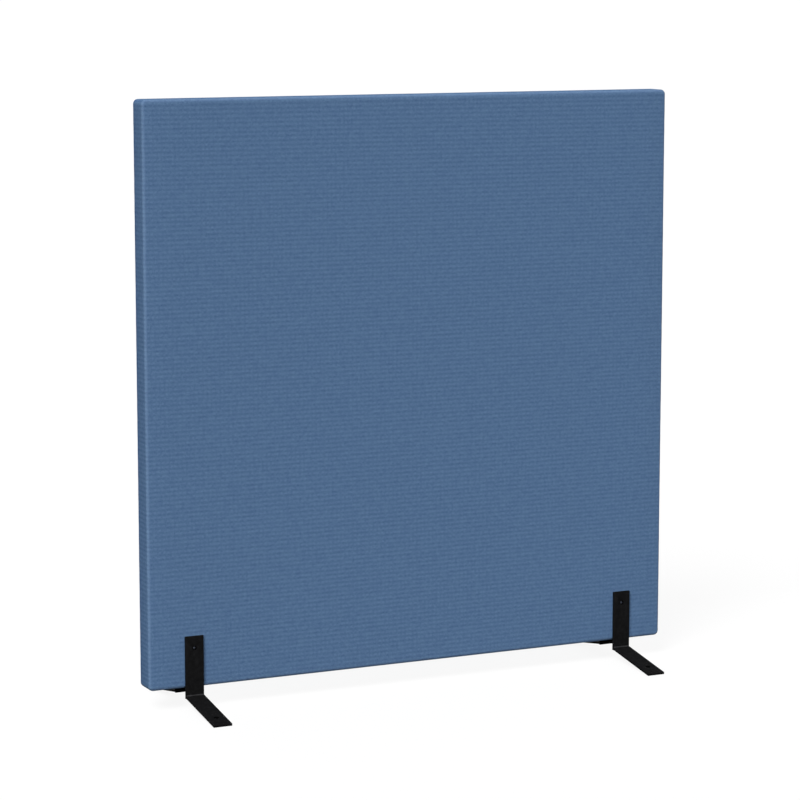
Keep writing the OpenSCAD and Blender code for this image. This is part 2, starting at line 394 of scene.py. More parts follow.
def makeFloor():
    bpy.ops.object.select_all(action="DESELECT")
    bpy.ops.mesh.primitive_circle_add(
        vertices=paleFloor["sides"], radius=paleFloor["radius"], fill_type="NGON")
    floor = bpy.context.object
    floor.name = "floor"
    finish, tree, skin = newFinish("paleFloor")
    seen = seenPlainly(tree)
    bounce = paleFloor["bounce"]
    tone = calc(tree, "MULTIPLY_ADD", seen, paleFloor["tone"] - bounce, bounce)
    tree.links.new(tone, skin.inputs["Base Color"])
    skin.inputs["Roughness"].default_value = paleFloor["rough"]
    skin.inputs["Specular IOR Level"].default_value = 0
    white = whiteFrom(tree, "ShaderNodeEmission", 1)
    share = times(tree, seen, paleFloor["white"])
    mixShaders(tree, share, skin.outputs[0], white, tree.nodes["out"])
    dress(floor, finish)
    print("floor laid")


# The cloth's look

weave = {
    "tone": (0.080, 0.144, 0.258),
    "swing": (0.104, 0.163, 0.184),    # how the tone changes where the cloth is lighter or darker
    "rough": 0.92,
    "threadRough": -0.10,
    "relief": (0.00022, 0.8),
    "heights": {          # shares of a thread's height
        "crepe": 0.45,
        "fibre": 0.18,
        "dots": 0.25,
        "pucker": 1.2,
    },
    "threadPitch": 0.00077,
    "threadMiddle": 0.62,
    "threadTint": 0.22,
    "crepeThreads": 2.2,  # size of the crepe's patches and of a fibre, in threads
    "fibreThreads": 0.25,
    "crepeFloat": 2.4,    # how much the crepe upsets the plain weave
    "crossingSoft": 0.35,  # how softly one thread passes under the other
    "crepeTint": 0.135,   # each half repeat is a little lighter or darker
    "crepeUneven": 0.5,   # how far they stray from a grid
    # lighter on the raised rows, darker between them: partly the cloth's pattern, partly painted shade
    "rowTint": 0.080,
    "rowUneven": 1.6,     # how much stronger the rows are in some patches
    "rowPatchScale": 45,
    "dotTint": 0.045,
    "dotsInRows": 0.6,    # how much fainter the dots are between the rows
    "yarnScale": (220, 1500, 1),       # along the rows
    "slubScale": (1500, 220, 1),       # across them
    "yarnTint": 0.30,
    "slubTint": 0.20,
    "fleckScale": 420,
    "melange": 0.60,
    # painted highlight: the rounded edges are coloured lighter
    "edgeHighlightTint": 0.07,
    "edgeHighlightWhite": 0.018,    # painted highlight: white added where the cloth is bent
    # painted shade in the seam's groove
    "seamShadeTint": 0.55,
    "puckerTint": 0.10,
    "stitch": 0.0032,
}


def makeClothFinish():
    finish, tree, skin = newFinish("blueWovenCloth")
    flat = tree.nodes.new("ShaderNodeUVMap")
    flat.uv_map = "cut"
    where = flat.outputs["UV"]
    across, up = axesOf(tree, where)[:2]

    # plain weave: warp and weft threads take turns on top, with crepe floats
    pitch = weave["threadPitch"]
    warp = wave(tree, "SINE", across, 2 * pitch)
    weft = wave(tree, "SINE", up, 2 * pitch)
    crossing = times(tree, warp, weft)
    crepe = noiseAt(tree, where, 1 / (weave["crepeThreads"] * pitch), detail=1)
    lift = calc(tree, "MULTIPLY_ADD", around(tree, crepe), weave["crepeFloat"], crossing)
    onTop = tree.nodes.new("ShaderNodeMapRange")
    onTop.interpolation_type = "SMOOTHSTEP"
    onTop.inputs["From Min"].default_value = -weave["crossingSoft"]
    onTop.inputs["From Max"].default_value = weave["crossingSoft"]
    tree.links.new(lift, onTop.inputs["Value"])
    warpRound = calc(tree, "ABSOLUTE", warp)
    weftRound = calc(tree, "ABSOLUTE", weft)
    gap = calc(tree, "SUBTRACT", warpRound, weftRound)
    thread = calc(tree, "MULTIPLY_ADD", gap, onTop.outputs["Result"], weftRound)

    # rows of raised dots, one in each repeat of the pattern
    row = wave(tree, "COSINE", up, cloth["rowPitch"])
    dot = wave(tree, "COSINE", across, cloth["rowPitch"])
    dots = times(tree, dot, faded(tree, row, weave["dotsInRows"]))
    halfRepeats = cellsAt(tree, where, cloth["rowPitch"] / 2, weave["crepeUneven"])
    cellTone = axesOf(tree, halfRepeats["Color"])[0]
    patches = noiseAt(tree, where, weave["rowPatchScale"], detail=1)
    uneven = weave["rowUneven"]
    rowTone = times(tree, row, calc(tree, "MULTIPLY_ADD", patches, uneven, 1 - uneven / 2))

    # yarn: short lighter and darker lengths, along and across
    yarn = noiseAt(tree, stretched(tree, where, weave["yarnScale"]), detail=2)
    slub = noiseAt(tree, stretched(tree, where, weave["slubScale"]), detail=2)
    flecks = noiseAt(tree, where, weave["fleckScale"], detail=2, roughness=0.6)

    # lockstitch: the sewing thread dips at even steps along the seam
    seam = attributeAt(tree, "seam")
    pucker = times(tree, seam, wave(tree, "SINE", attributeAt(tree, "seamRun"), weave["stitch"]))

    # painted highlight along the rounded edges, lighter and a little whiter
    bend = attributeAt(tree, "bend")
    lightness = total(
        tree,
        (around(tree, thread, weave["threadMiddle"]), weave["threadTint"]),
        (rowTone, weave["rowTint"]),
        (around(tree, cellTone), weave["crepeTint"]),
        (dots, weave["dotTint"]),
        (around(tree, yarn), weave["yarnTint"]),
        (around(tree, slub), weave["slubTint"]),
        (around(tree, flecks), weave["melange"]),
        (bend, weave["edgeHighlightTint"]),
        # painted shade in the seams
        (seam, -weave["seamShadeTint"]),
        (pucker, weave["puckerTint"]))
    colour = vectorCalc(tree, "MULTIPLY_ADD", lightness, weave["swing"], weave["tone"])
    # painted highlight: white added on the bends
    colour = vectorCalc(tree, "ADD", colour, times(tree, bend, weave["edgeHighlightWhite"]))
    rough = calc(tree, "MULTIPLY_ADD", thread, weave["threadRough"], weave["rough"])
    tree.links.new(colour, skin.inputs["Base Color"])
    tree.links.new(rough, skin.inputs["Roughness"])
    skin.inputs["Specular IOR Level"].default_value = 0

    fibre = noiseAt(tree, where, 1 / (weave["fibreThreads"] * pitch), detail=1)
    heights = weave["heights"]
    height = total(
        tree, (thread, 1), (crepe, heights["crepe"]), (fibre, heights["fibre"]),
        (dots, heights["dots"]), (pucker, heights["pucker"]))
    bump(tree, skin, height, weave["relief"])
    return finish


# The upholstered panel

cloth = {
    "thick": 0.001,
    "edgeRound": 0.006,
    "cornerRound": 0.010,
    "edgeSteps": 6,
    "cornerSteps": 6,
    "columns": 20,
    "rowPitch": 0.00925,
    "rowSteps": 6,        # cuts in one row of the pattern
    "rowDepth": 0.00016,
    "sag": 0.00012,
    "sagScale": 7,
    "seamAt": 0.019,      # plane of the rear seam
    "seamDepth": 0.0014,
    "seamWidth": 0.0009,
    "seamCuts": (-2.4, -1.5, -0.8, 0.8, 1.5),    # in seam widths, as are the next two
    "seamReach": 3,
    "seamShade": 1.6,
    "dartDepth": 0.0003,  # the short seams over the two top corners
    "dartWidth": 0.0012,
    "dartShade": 0.12,    # share of the rear seam's painted shade
    "flapAt": 0.007,      # edges of the two cloths under the panel
    "flapEnd": 0.578,     # half the length of the opening between them
    "smoothTo": 50,
}

# flat is the cut size with what its seams and turned-in edges take

frontCloth = {
    "side": -1,
    "nodes": ["front_cover"],
    "flat": (1.305, 1.275),
    "area": 1.58,
    "edgeHighlightShare": 1.0,     # how much painted highlight its bends get
    "restsOn": ["front_foam", "top_edge_foam", "left_edge_foam", "right_edge_foam"],
}

rearCloth = {
    "side": 1,
    "nodes": ["rear_cover"],
    "flat": (1.225, 1.240),
    "area": 1.50,
    # its bends get less of the painted highlight
    "edgeHighlightShare": 0.3,
    "restsOn": ["rear_foam", "bottom_edge_foam"],
}


def panelBox():
    boxes = [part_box("front_cover"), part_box("rear_cover")]
    low = Vector(min(box[0][axis] for box in boxes) for axis in range(3))
    high = Vector(max(box[1][axis] for box in boxes) for axis in range(3))
    return low, high


panelLow, panelHigh = panelBox()
panelMiddle = (panelLow + panelHigh) / 2
panelHalf = (panelHigh - panelLow) / 2


def panelBlank(name, inset=0.0):
    # the panel's rounded outside, or the same form moved in by inset
    low = panelLow + Vector((inset,) * 3)
    high = panelHigh - Vector((inset,) * 3)
    blank = addCube(name, low, high)
    startEdit(blank)

    def alongDepth(edge):
        run = edge.verts[0].co - edge.verts[1].co
        return abs(run.y) > hypot(run.x, run.z)

    pick(blank, "edges", alongDepth)
    bpy.ops.mesh.bevel(
        offset=cloth["cornerRound"] - inset, segments=cloth["cornerSteps"], affect="EDGES")

    def roundTheFaces(edge):
        first, last = (corner.co.y for corner in edge.verts)
        return abs(first - last) < samePlace and (
            abs(first - low.y) < samePlace or abs(first - high.y) < samePlace)

    pick(blank, "edges", roundTheFaces)
    bpy.ops.mesh.bevel(
        offset=cloth["edgeRound"] - inset, segments=cloth["edgeSteps"], affect="EDGES")
    endEdit()
    return blank


def depthOf(point, side):
    # how far behind the front (side -1), or before the back (side 1)
    return point.y - panelLow.y if side < 0 else panelHigh.y - point.y


def underPanel(point):
    return point.z < panelLow.z + cloth["thick"] and abs(point.x) < cloth["flapEnd"]


def onCloth(point, side):
    edge = side * cloth["flapAt"] if underPanel(point) else cloth["seamAt"]
    return (point.y - edge) * side > 0


def rolled(across, depth, half):
    # way over the cloth from the middle of a face to a point past its rounded edge
    bend = cloth["edgeRound"]
    flat = half - bend
    if across <= flat:
        return across
    if depth >= bend:
        return flat + bend * pi / 2 + depth - bend
    return flat + bend * atan2(across - flat, bend - depth)


def clothPlace(point, normal, depth):
    # where a point of the hung cloth lies on the flat cut
    side, rise = point.x - panelMiddle.x, point.z - panelMiddle.z
    if abs(normal.z) > abs(normal.x):
        up = rolled(abs(rise), depth, panelHalf.z)
        return side, up if rise > 0 else -up
    across = rolled(abs(side), depth, panelHalf.x)
    return (across if side > 0 else -across), rise


def bendAt(point, depth):
    # 1 in the middle of a rounded edge, fading to 0 at its ends; it places the painted edge highlight
    bend = cloth["edgeRound"]
    if depth >= bend:
        return 0.0
    turns = []
    for off, reach in ((point.x - panelMiddle.x, panelHalf.x), (point.z - panelMiddle.z, panelHalf.z)):
        past = abs(off) - (reach - bend)
        turns.append(sin(2 * atan2(past, bend - depth)) if past > 0 else 0.0)
    return max(turns)


def onDart(point):
    # 1 on the short seam over a top corner, fading to 0 beside it and on the front
    corner = cloth["cornerRound"]
    past = abs(point.x - panelMiddle.x) - (panelHalf.x - corner)
    over = point.z - panelMiddle.z - (panelHalf.z - corner)
    if past <= 0 or over <= 0 or point.y > cloth["seamAt"] + nearPlace:
        return 0.0
    beside = corner * abs(atan2(over, past) - pi / 4)
    depth = point.y - panelLow.y
    return exp(-(beside / cloth["dartWidth"]) ** 2) * min(1.0, depth / cloth["edgeRound"])


def makeClothShell():
    shell = panelBlank("clothShell")
    low, high = panelLow, panelHigh
    corner = cloth["cornerRound"]
    startEdit(shell)
    # columns first, while there is little to cut
    sliceUp(shell, alongX, low.x + corner, high.x - corner, cloth["columns"])
    for z in (low.z + corner, high.z - corner):
        cutAt(shell, alongZ, z)
    # edges of the opening under the panel
    for x in (-cloth["flapEnd"], cloth["flapEnd"]):
        cutAt(shell, alongX, x, looksDown)
    # the seam's groove, and the rows over the top and under the bottom
    seamCuts = [cloth["seamAt"] + share * cloth["seamWidth"] for share in cloth["seamCuts"]]
    for y in seamCuts:
        cutAt(shell, alongY, y)
    step = cloth["rowPitch"] / cloth["rowSteps"]
    y = low.y + cloth["edgeRound"] + step
    while y < seamCuts[0] - step / 2:
        cutAt(shell, alongY, y, lambda face: abs(face.normal.z) > mostly)
        y += step
    for y in (-cloth["flapAt"], cloth["flapAt"]):
        cutAt(shell, alongY, y, looksDown)

    def tallEdge(edge):
        return abs(edge.verts[0].co.z - edge.verts[1].co.z) > panelHalf.z

    pick(shell, "edges", tallEdge)
    rows = round((high.z - low.z - 2 * corner) / step)
    bpy.ops.mesh.subdivide(number_cuts=rows - 1)
    endEdit()
    print("cloth shell cut:", len(shell.data.polygons), "faces")
    return shell


def sinkSeams(shell):
    # both cloths turn in at the seam, except where the rear one runs on under the panel
    mesh = shell.data
    normals = [vertex.normal.copy() for vertex in mesh.vertices]
    for vertex, normal in zip(mesh.vertices, normals):
        sink = cloth["dartDepth"] * onDart(vertex.co)
        off = abs(vertex.co.y - cloth["seamAt"]) / cloth["seamWidth"]
        if off < cloth["seamReach"] and not underPanel(vertex.co):
            sink = max(sink, cloth["seamDepth"] * exp(-off ** 2))
        vertex.co -= normal * sink


def layFlat(mesh, side):
    # the UV map is the flat cut in metres
    while mesh.uv_layers:
        mesh.uv_layers.remove(mesh.uv_layers[0])
    cut = mesh.uv_layers.new(name="cut")
    for face in mesh.polygons:
        for loop in face.loop_indices:
            point = mesh.vertices[mesh.loops[loop].vertex_index].co
            cut.data[loop].uv = clothPlace(point, face.normal, depthOf(point, side))


def raiseRows(mesh, side, edgeHighlightShare):
    # notes where the finish paints a highlight on the bends and shade in the seams, then raises the
    # rows of its pattern
    bend = mesh.attributes.new("bend", "FLOAT", "POINT")
    seam = mesh.attributes.new("seam", "FLOAT", "POINT")
    run = mesh.attributes.new("seamRun", "FLOAT", "POINT")
    moves = []
    for vertex in mesh.vertices:
        depth = depthOf(vertex.co, side)
        bend.data[vertex.index].value = edgeHighlightShare * bendAt(vertex.co, depth)
        off = abs(vertex.co.y - cloth["seamAt"])
        dart = onDart(vertex.co)
        rear = exp(-(off / (cloth["seamShade"] * cloth["seamWidth"])) ** 2)
        seam.data[vertex.index].value = max(rear, cloth["dartShade"] * dart)
        across, up = clothPlace(vertex.co, vertex.normal, depth)
        onTop = abs(vertex.normal.z) > abs(vertex.normal.x)
        run.data[vertex.index].value = vertex.co.y if dart > rear else across if onTop else up
        rise = cloth["rowDepth"] / 2 * cos(2 * pi * up / cloth["rowPitch"])
        rise += cloth["sag"] * noise.noise(vertex.co * cloth["sagScale"])
        moves.append(vertex.normal * rise)
    for vertex, move in zip(mesh.vertices, moves):
        vertex.co += move


def makeCover(name, sheet, shell, finish):
    cover = copyPiece(shell, name)
    side = sheet["side"]
    startEdit(cover)
    pick(cover, "faces", lambda face: not onCloth(face.calc_center_median(), side))
    bpy.ops.mesh.delete(type="FACE")
    endEdit()
    layFlat(cover.data, side)
    raiseRows(cover.data, side, sheet["edgeHighlightShare"])
    applyModifier(cover, "SOLIDIFY", thickness=cloth["thick"], offset=-1)
    insertHoles(cover, side)
    smooth(cover, cloth["smoothTo"])
    fitPiece(cover, sheet["nodes"], finish)
    print(name, "made:", len(cover.data.polygons), "faces")


def makeCovers():
    finish = makeClothFinish()
    shell = makeClothShell()
    sinkSeams(shell)
    makeCover("frontCloth", frontCloth, shell, finish)
    makeCover("rearCloth", rearCloth, shell, finish)
    bpy.data.objects.remove(shell, do_unlink=True)


# Foam and absorber inside the panel

foam = {
    "tone": (0.72, 0.68, 0.52),
    "shades": ((0.25, 0.72), (0.55, 1), (0.85, 1.12)),
    "rough": 0.95,
    "gloss": 0.1,
    "relief": (0.0004, 0.7),
    "cellSize": 0.0011,
    "cellShare": 0.5,     # of the pattern, and the rest is patches
    "patchScale": 14,
    "thick": 0.004,
    "columns": 12,
    "smoothTo": 35,
}

insertBore = {
    "wide": 0.010,
    "play": 0.00015,
    "from": 0.015,        # its ends, off the middle plane
    "to": 0.030,
    "sides": 32,
}

wool = {
    "tone": (0.55, 0.45, 0.18),
    "shades": ((0.3, 0.55), (0.5, 1), (0.72, 1.35)),
    "rough": 0.98,
    "gloss": 0.05,
    "relief": (0.0008, 0.8),
    "layerScale": (60, 500, 60),
    "fibreScale": (900, 2500, 300),
    "layerShare": 0.6,    # of the pattern, and the rest is fibres
    "gap": 0.0005,        # all round, in its bay
    "softEdge": 0.004,
    "edgeSteps": 3,
    "columns": 12,
    "rows": 24,
    "fuzz": 0.0012,
    "fuzzScale": 40,
    "smoothTo": 40,
}


def makeFoamFinish():
    finish, tree, skin = newFinish("paleFoam")
    where = objectPlace(tree)
    cells = cellsAt(tree, where, foam["cellSize"])["Distance"]
    patches = noiseAt(tree, where, foam["patchScale"], detail=3)
    paint(tree, skin, foam, mixed(tree, cells, patches, foam["cellShare"]), cells)
    return finish


def makeWoolFinish():
    finish, tree, skin = newFinish("mineralWool")
    layers = noiseAt(tree, objectPlace(tree, wool["layerScale"]), detail=5, roughness=0.65)
    fibres = noiseAt(tree, objectPlace(tree, wool["fibreScale"]), detail=3, distortion=1.5)
    shade = mixed(tree, layers, fibres, wool["layerShare"])
    paint(tree, skin, wool, shade, shade)
    return finish


def insertHoles(piece, side):
    # the bores of the two inserts on the front (-1) or the back (1)
    start, end = insertBore["from"], insertBore["to"]
    wide = insertBore["wide"] + 2 * insertBore["play"]
    for node in ("front_left_bracket", "front_right_bracket"):
        low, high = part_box(node)
        middle = ((low.x + high.x) / 2, side * (start + end) / 2, high.z - bracket["holeBelowTop"])
        cutWith(piece, addRod("drill", wide, end - start, middle, (90, 0), insertBore["sides"]))


def makeFoams():
    finish = makeFoamFinish()
    blank = panelBlank("foamBlank", cloth["thick"])
    startEdit(blank)
    sliceUp(blank, alongX, panelLow.x, panelHigh.x, foam["columns"])
    endEdit()
    skin = cloth["thick"] + foam["thick"]
    front, back = panelLow.y + skin, panelHigh.y - skin
    left, right = panelLow.x + skin, panelHigh.x - skin
    below, above = panelLow.z + skin, panelHigh.z - skin
    # each pad is what is left of the blank between some cuts: which way is cut off, and where
    between = [(-alongY, front), (alongY, back)]
    upright = [(-alongZ, below), (alongZ, above)]
    pads = {
        "front_foam": ("frontFoamPad", [(alongY, front)]),
        "rear_foam": ("rearFoamPad", [(-alongY, back)]),
        "top_edge_foam": ("topFoamStrip", between + [(-alongZ, above)]),
        "bottom_edge_foam": ("bottomFoamStrip", between + [(alongZ, below)]),
        "left_edge_foam": ("leftFoamStrip", between + upright + [(alongX, left)]),
        "right_edge_foam": ("rightFoamStrip", between + upright + [(-alongX, right)]),
    }
    holeSides = {"front_foam": -1, "rear_foam": 1}
    for node, (name, cuts) in pads.items():
        pad = copyPiece(blank, name)
        startEdit(pad)
        for away, at in cuts:
            cutAt(pad, away, at, use_fill=True, clear_outer=True)
        endEdit()
        if node in holeSides:
            insertHoles(pad, holeSides[node])
        smooth(pad, foam["smoothTo"])
        fitPiece(pad, [node], finish)
    bpy.data.objects.remove(blank, do_unlink=True)
    print("foam pads made")


def makeSlabs():
    finish = makeWoolFinish()
    for side in ("left", "right"):
        low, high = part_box(side + "_infill_slab")
        blockLow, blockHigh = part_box(side + "_anchor_block")
        foot = blockHigh.z + wool["gap"]
        edge = blockHigh.x + wool["gap"] if side == "left" else blockLow.x - wool["gap"]
        slab = addCube(side + "WoolSlab", (low.x, low.y, foot), high)
        startEdit(slab)
        cutAt(slab, alongX, edge)

        def besideBlock(face):
            middle = face.calc_center_median()
            return looksDown(face) and (middle.x > edge) == (side == "left")

        # it reaches down beside the anchor block
        pick(slab, "faces", besideBlock)
        bpy.ops.mesh.extrude_region_move(TRANSFORM_OT_translate={"value": (0, 0, low.z - foot)})
        bpy.ops.mesh.select_all(action="SELECT")
        bpy.ops.mesh.bevel(offset=wool["softEdge"], segments=wool["edgeSteps"], affect="EDGES")
        sliceUp(slab, alongX, low.x, high.x, wool["columns"])
        sliceUp(slab, alongZ, low.z, high.z, wool["rows"])
        endEdit()
        moves = []
        for vertex in slab.data.vertices:
            share = 0.5 + 0.5 * noise.noise(vertex.co * wool["fuzzScale"])
            moves.append(vertex.normal * -wool["fuzz"] * share)
        for vertex, move in zip(slab.data.vertices, moves):
            vertex.co += move
        smooth(slab, wool["smoothTo"])
        fitPiece(slab, [side + "_infill_slab"], finish)
    print("wool slabs made")


# Closing strip under the panel

strip = {
    "tone": (0.010, 0.010, 0.011),
    "shades": ((0.3, 0.7), (0.5, 1), (0.7, 2.2)),
    "rough": 0.95,
    "gloss": 0.1,
    "relief": (0.0003, 0.7),
    "feltScale": 1000,
    "cellSize": 0.0012,
    "feltShare": 0.7,     # of the pattern, and the rest is cells
    "thick": 0.0008,
    "columns": 96,
    "rows": 10,
    "staples": 8,         # in each of its two rows
    "pucker": 0.0003,     # how far a staple draws it in
    "puckerWide": 0.006,
    "uneven": 0.2,
    "unevenScale": 30,
    "smoothTo": 50,
}


def makeStripFinish():
    finish, tree, skin = newFinish("blackFelt")
    where = objectPlace(tree)
    matted = noiseAt(tree, where, strip["feltScale"], detail=4, roughness=0.7, distortion=1.2)
    cells = cellsAt(tree, where, strip["cellSize"])["Distance"]
    shade = mixed(tree, matted, cells, strip["feltShare"])
    paint(tree, skin, strip, shade, shade)
    return finish


def makeStrip():
    low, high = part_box("underside_strip")
    band = addCube("closingStrip", low, high)
    startEdit(band)
    pick(band, "faces", lambda face: not looksDown(face))
    bpy.ops.mesh.delete(type="FACE")
    sliceUp(band, alongX, low.x, high.x, strip["columns"])
    sliceUp(band, alongY, low.y, high.y, strip["rows"])
    endEdit()
    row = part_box("underside_staples")[1].y
    pitch = (high.x - low.x) / strip["staples"]
    for vertex in band.data.vertices:
        along = cos(2 * pi * ((vertex.co.x - low.x) / pitch - 0.5))
        near = exp(-((abs(vertex.co.y) - row) / strip["puckerWide"]) ** 2)
        swell = noise.noise(vertex.co * strip["unevenScale"])
        share = 1 - strip["uneven"] + strip["uneven"] * swell
        vertex.co.z += strip["pucker"] * (0.5 + 0.5 * along * near) * share
    applyModifier(band, "SOLIDIFY", thickness=strip["thick"], offset=-1)
    smooth(band, strip["smoothTo"])
    fitPiece(band, ["underside_strip"], makeStripFinish())
    print("closing strip made")


# Brackets of flat bar

bracket = {
    "tone": (0.0055, 0.0055, 0.0058),
    "shades": ((0.35, 0.75), (0.5, 1), (0.68, 1.8)),
    "beadHighlight": 4.0,      # painted highlight: the bead is coloured lighter than the bar
    "boreShade": 0.15,     # and painted shade: the insides of the screw hole and the foot hole darker
    "footBoreShade": 0.35,
    "rough": 0.68,
    "roughSwing": 0.2,
    "gloss": 0.01,
    "relief": (0.00008, 0.5),
    "peelScale": 900,
    "broadScale": 120,
    "peelShare": 0.5,     # of the pattern, and the rest is broad
    "broadHeight": 0.5,
    "wide": 0.040,
    "thick": 0.005,
    "upright": 0.130,
    "footLong": 0.153,
    "slope": 9.5,
    "heel": 0.0008,       # how far the upright reaches below the foot
    "softEdge": 0.0005,
    "softSteps": 2,
    "sharpFrom": 40,      # edges sharper than this are softened
    "holeBelowTop": 0.025,
    "screwHole": 0.0045,
    "headHole": 0.0084,
    "headHoleDeep": 0.0029,
    "footHole": 0.011,
    "footHoleIn": 0.036,
    "drillLong": 0.020,
    "rimFrom": 60,
    "rimRound": 0.00025,
    "smoothTo": 24,
}

weldBead = {
    "round": 0.002,
    "sides": 20,
    "short": 0.001,       # at each end
    "ripple": 0.0021,
    "rippleSteps": 5,
    "skew": 0.5,
    "hollow": 0.86,       # shares of its radius: between the ripples,
    "swell": 0.12,        # what a ripple adds,
    "taper": 0.3,         # and what its ends lose
    "taperLong": 0.0015,
}


def makePowderFinish():
    finish, tree, skin = newFinish("blackPowderCoat")
    where = objectPlace(tree)
    peel = noiseAt(tree, where, bracket["peelScale"], detail=2)
    broad = noiseAt(tree, where, bracket["broadScale"], detail=3)
    shade = mixed(tree, peel, broad, bracket["peelShare"])
    height = total(tree, (peel, 1), (broad, bracket["broadHeight"]))
    colour = paint(tree, skin, bracket, shade, height, roughBy=peel)
    # the bead's painted highlight and the holes' painted shade
    tree.links.new(vectorCalc(tree, "MULTIPLY", colour, attributeAt(tree, "paintedLightShade")),
                   skin.inputs["Base Color"])
    return finish


def makeBead(face, corner):
    # weld bead along the inner corner, rippled where the welder paused
    half = bracket["wide"] / 2 - weldBead["short"]
    bead = addRod("weldBead", 2 * weldBead["round"], 2 * half, (0, face, corner), (0, 90),
                  weldBead["sides"])
    startEdit(bead)
    sliceUp(bead, alongX, -half, half,
            round(2 * half / weldBead["ripple"] * weldBead["rippleSteps"]))
    endEdit()
    for vertex in bead.data.vertices:
        out = Vector((0, vertex.co.y - face, vertex.co.z - corner))
        skewed = vertex.co.x + weldBead["skew"] * out.y
        ripple = abs(sin(pi * skewed / weldBead["ripple"]))
        end = max(0.0, abs(vertex.co.x) - half + weldBead["taperLong"]) / weldBead["taperLong"]
        size = (weldBead["hollow"] + weldBead["swell"] * ripple) * (1 - weldBead["taper"] * end ** 2)
        vertex.co.y, vertex.co.z = face + out.y * size, corner + out.z * size
    return bead


def makeBar(face, low, start, footTop, toTip):
    # upright and foot: the foot is drawn out of the upright and cut plumb at its tip
    size = bracket
    half, slope = size["wide"] / 2, radians(size["slope"])
    bar = addCube("bracketBar", (-half, face, low), (half, panelLow.y, low + size["upright"]))
    startEdit(bar)
    for height in (start.z, footTop):
        cutAt(bar, alongZ, height)
    pick(bar, "faces", lambda part: part.normal.y < -mostly
         and start.z < part.calc_center_median().z < footTop)
    bpy.ops.mesh.extrude_region_move(
        TRANSFORM_OT_translate={"value": toTip * size["footLong"]})
    tipTop = footTop + toTip.z * size["footLong"]
    pick(bar, "verts", lambda part: part.co.y < face - size["footLong"] / 2
         and abs(part.co.z - tipTop) < nearPlace)
    bpy.ops.transform.translate(value=toTip * size["thick"] * sin(slope) / cos(slope))
    endEdit()
    applyModifier(bar, "BEVEL", width=size["softEdge"], segments=size["softSteps"],
                  limit_method="ANGLE", angle_limit=radians(size["sharpFrom"]),
                  use_clamp_overlap=False)
    return bar


def makeBracket():
    # the one in front, on the middle line
    size = bracket
    slope = radians(size["slope"])
    toTip = Vector((0, -cos(slope), -sin(slope)))
    across = Vector((0, -sin(slope), cos(slope)))
    low = size["footLong"] * sin(slope) - size["heel"]
    face = panelLow.y - size["thick"]
    start = Vector((0, face, low + size["heel"]))
    footTop = start.z + size["thick"] / cos(slope)
    bar = makeBar(face, low, start, footTop, toTip)
    cutWith(bar, makeBead(face, footTop), "UNION")

    screwAt = Vector((0, face, low + size["upright"] - size["holeBelowTop"]))
    footHoleAt = start + toTip * (size["footLong"] - size["footHoleIn"]) + across * size["thick"] / 2
    for wide, long, middle, tilt in (
            (size["screwHole"], size["drillLong"], screwAt, 90),
            (size["headHole"], 2 * size["headHoleDeep"], screwAt, 90),
            (size["footHole"], size["drillLong"], footHoleAt, size["slope"])):
        cutWith(bar, addRod("drill", wide, long, middle, (tilt, 0)))

    def offScrewHole(spot):
        return hypot(spot.x, spot.z - screwAt.z) - size["headHole"] / 2

    def offFootHole(spot):
        off = spot - footHoleAt
        return hypot(off.x, off.dot(toTip)) - size["footHole"] / 2

    def holeRim(edge):
        if len(edge.link_faces) < 2 or edge.calc_face_angle(0) < radians(size["rimFrom"]):
            return False
        spot = (edge.verts[0].co + edge.verts[1].co) / 2
        if abs(spot.y - face) < nearPlace and abs(offScrewHole(spot)) < nearPlace:
            return True
        outOfFoot = abs((spot - footHoleAt).dot(across)) - size["thick"] / 2
        return abs(outOfFoot) < nearPlace and abs(offFootHole(spot)) < nearPlace

    # break the rims of the holes
    startEdit(bar)
    pick(bar, "edges", holeRim)
    bpy.ops.mesh.bevel(offset=size["rimRound"], segments=size["softSteps"], affect="EDGES")
    endEdit()

    beadEnd = (size["wide"] - weldBead["short"]) / 2
    # painted highlight on the bead and painted shade inside the holes
    paintedLightShade = bar.data.attributes.new("paintedLightShade", "FLOAT", "FACE")
    for part in bar.data.polygons:
        spot = part.center
        tone = 1.0
        if hypot(spot.y - face, spot.z - footTop) < weldBead["round"] and abs(spot.x) < beadEnd:
            tone = size["beadHighlight"]
        elif offScrewHole(spot) < nearPlace:
            tone = size["boreShade"]
        elif offFootHole(spot) < nearPlace:
            tone = size["footBoreShade"]
        paintedLightShade.data[part.index].value = tone
    applyModifier(bar, "TRIANGULATE", quad_method="SHORTEST_DIAGONAL", ngon_method="BEAUTY")
    smooth(bar, size["smoothTo"])
    return bar


def copyToBrackets(first, ending):
    # one copy at each bracket's node, and the rear ones are turned round
    copies = {}
    for side in ("left", "right"):
        low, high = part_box("front_%s_bracket" % side)
        move = ((low.x + high.x) / 2, 0, 0)
        for end, turn in (("front", 0), ("rear", 180)):
            name = end + side.capitalize() + ending
            copies["%s_%s_bracket" % (end, side)] = copyPiece(first, name, move, turn)
    bpy.data.objects.remove(first, do_unlink=True)
    return copies


def makeBrackets():
    finish = makePowderFinish()
    for node, foot in copyToBrackets(makeBracket(), "Foot").items():
        fitPiece(foot, [node], finish)
    print("brackets made")


# Screws in the brackets

